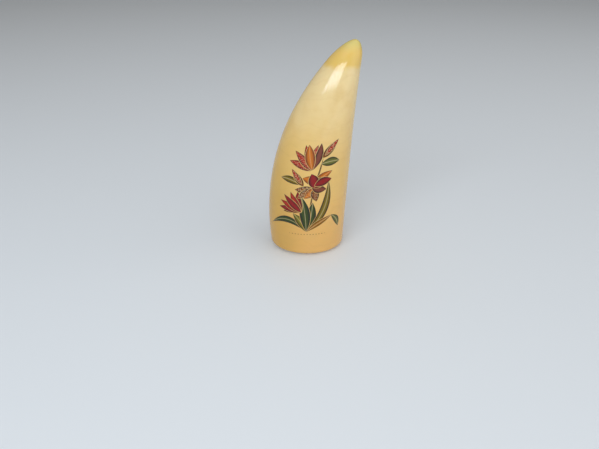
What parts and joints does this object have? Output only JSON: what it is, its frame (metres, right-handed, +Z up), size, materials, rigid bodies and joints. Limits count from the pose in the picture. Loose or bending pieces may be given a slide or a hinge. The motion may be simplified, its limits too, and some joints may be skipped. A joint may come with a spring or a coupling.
{
  "type": "scrimshaw whale tooth",
  "caption": "Polished tooth ornament with a coloured flower spray on one face, standing upright on its flat sawn root end.",
  "frame": {"origin": "centre of the flat underside, on the surface that the tooth stands on", "axes": "+Z up to the tip, +X the way the tip leans, -Y out of the decorated face"},
  "size_m": [0.0456, 0.0346, 0.11],
  "materials": {
    "ivory": "polished tooth ivory, glossy warm cream, with engraved and coloured flowers"
  },
  "bodies": {
    "root": {"tooth": "ivory"}
  },
  "joints": []
}
